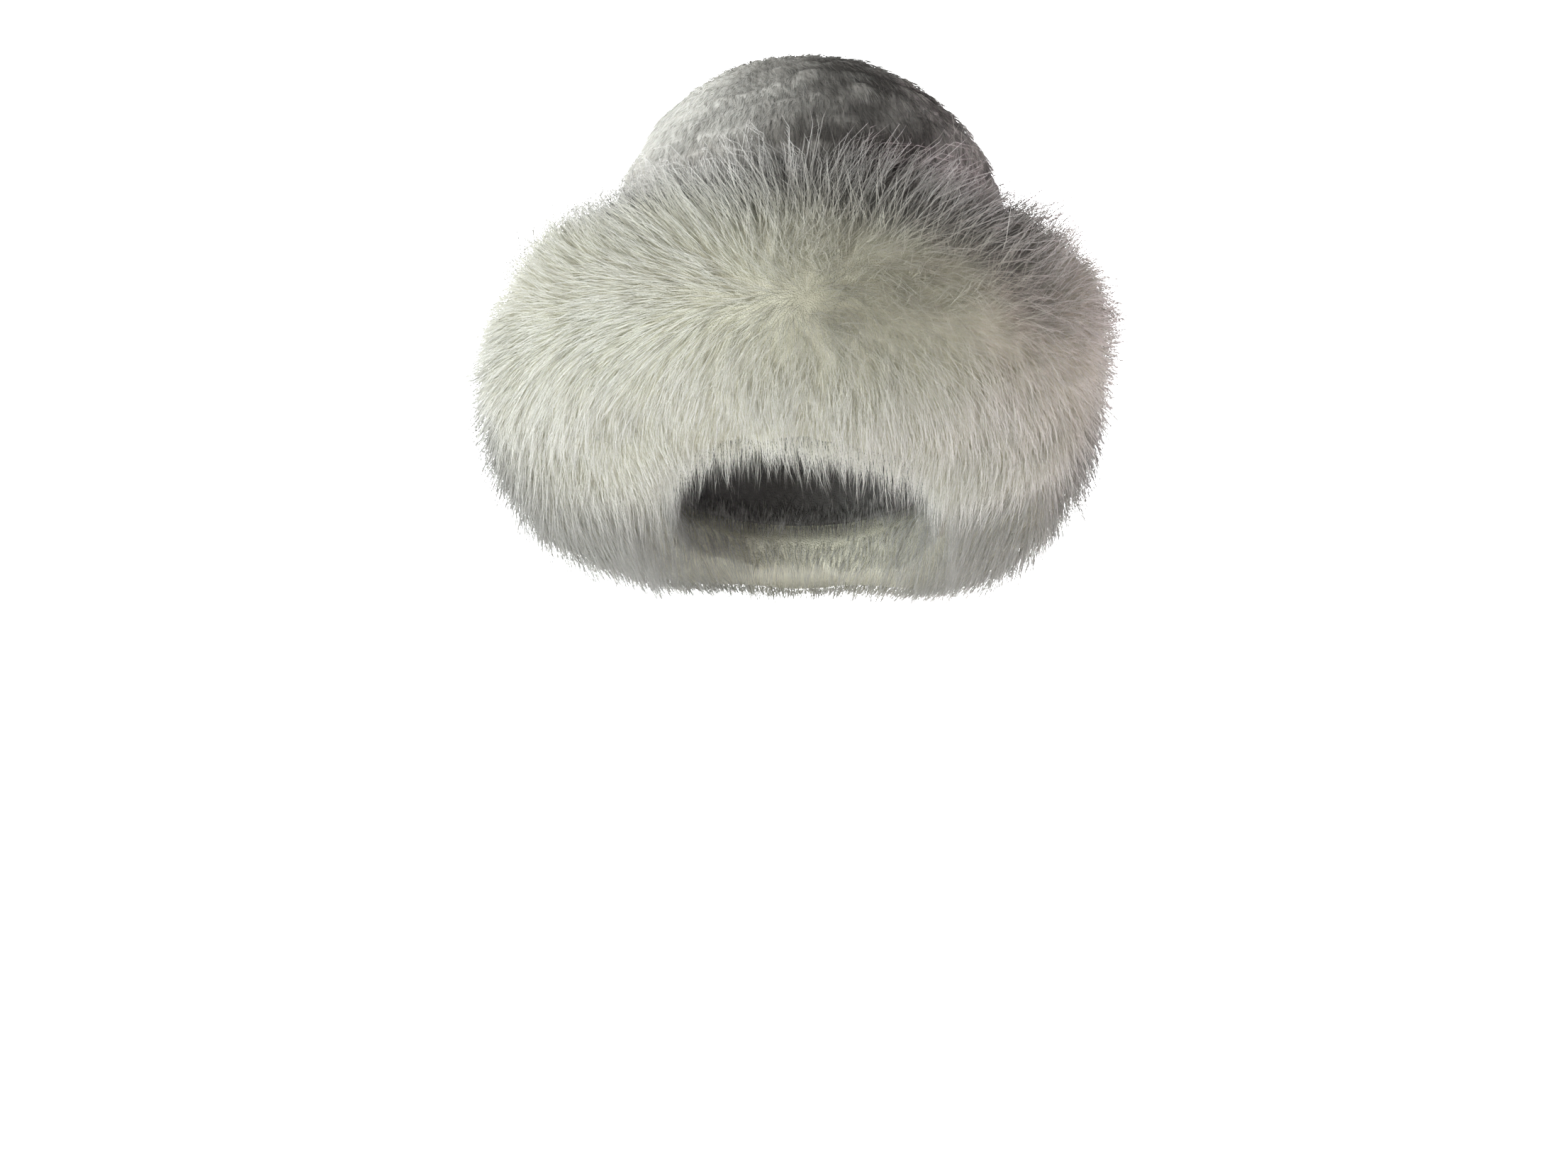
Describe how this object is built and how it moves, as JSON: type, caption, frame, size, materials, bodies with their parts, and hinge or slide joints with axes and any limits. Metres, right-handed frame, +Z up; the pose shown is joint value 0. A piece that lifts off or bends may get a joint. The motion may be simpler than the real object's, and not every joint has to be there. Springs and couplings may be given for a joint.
{
  "type": "fur-trimmed hat with a knitted fur crown",
  "caption": "Winter hat as worn, tipped back: a soft domed crown in rows of knitted fur inside a deep rolled brim of long fox fur, hollow to take the head.",
  "frame": {"origin": "centre of the oval rim, where the hat sits on the head", "axes": "+Z up, +X to the wearer's left, the face towards -Y; the rim slopes down from brow to nape"},
  "size_m": [0.3595, 0.3717, 0.308],
  "materials": {
    "knitted_fur": "short grey fur pile in knitted rows",
    "fox_fur": "long white fox guard hair over cream underfur"
  },
  "bodies": {
    "root": {"crown": "knitted_fur", "fox_brim": "fox_fur"}
  },
  "joints": []
}
